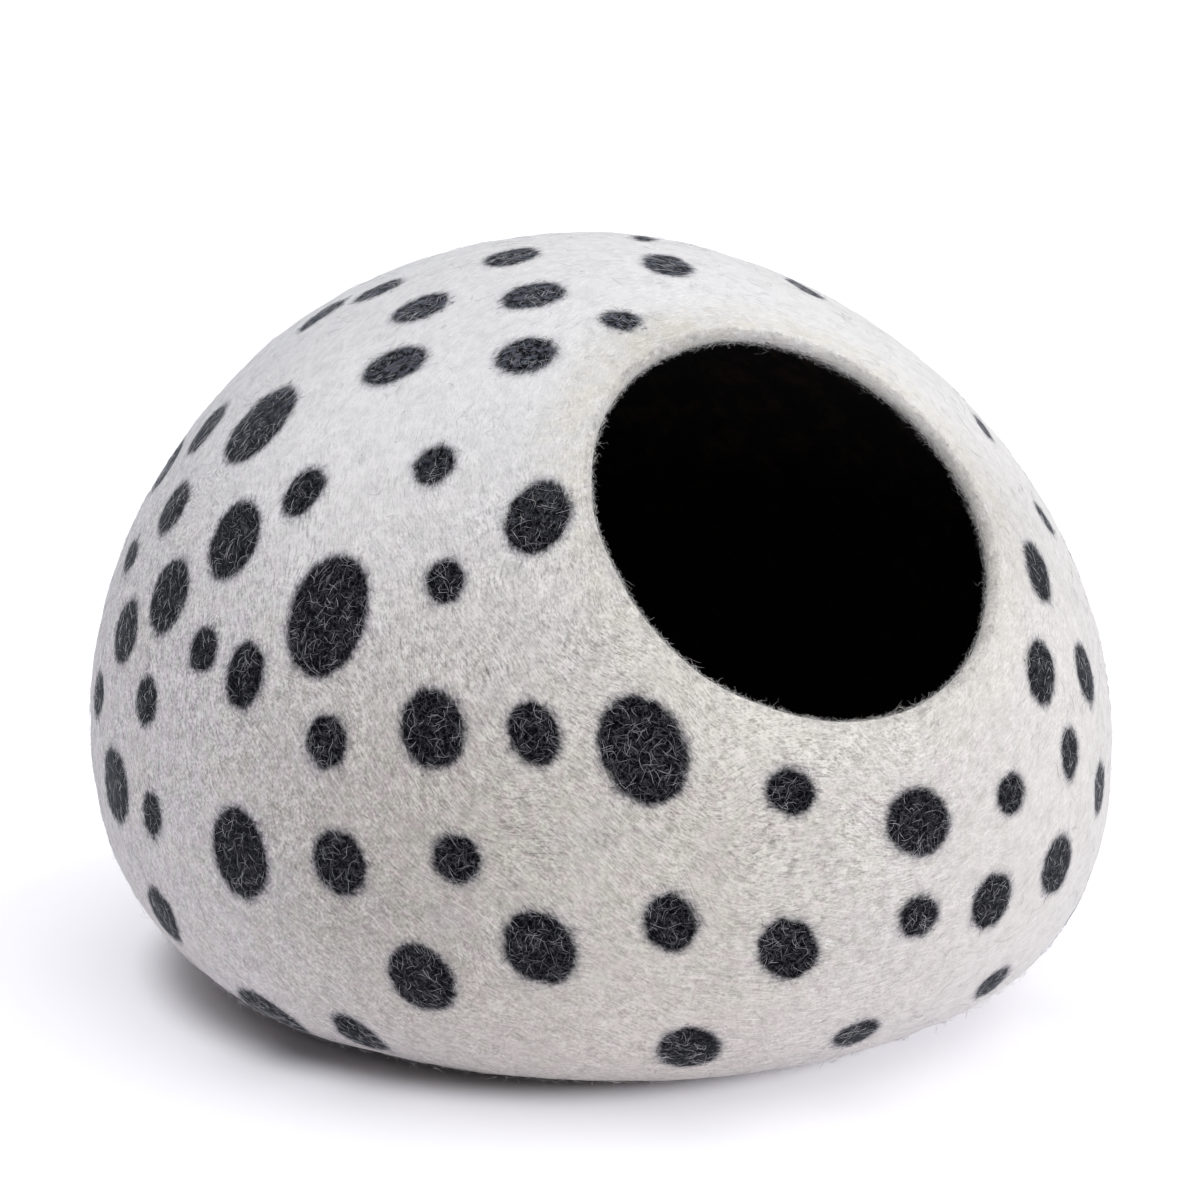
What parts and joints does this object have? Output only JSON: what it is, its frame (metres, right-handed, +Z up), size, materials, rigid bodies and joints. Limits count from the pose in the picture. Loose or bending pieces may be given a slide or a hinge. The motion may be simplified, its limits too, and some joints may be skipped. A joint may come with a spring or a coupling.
{
  "type": "felt cat cave",
  "caption": "Domed pet cave of thick wool felt: one seamless hollow shell on a broad flat base, with a round slanted opening in front.",
  "frame": {"origin": "middle of the flat base, where the cave stands", "axes": "+Z up; the opening faces -Y and slants upwards; +X to the right for somebody who faces the opening"},
  "size_m": [0.4698, 0.5103, 0.3502],
  "materials": {
    "wool_felt": "matt heathered off-white wool felt with charcoal wool spots"
  },
  "bodies": {
    "root": {"felt_cave": "wool_felt"}
  },
  "joints": []
}
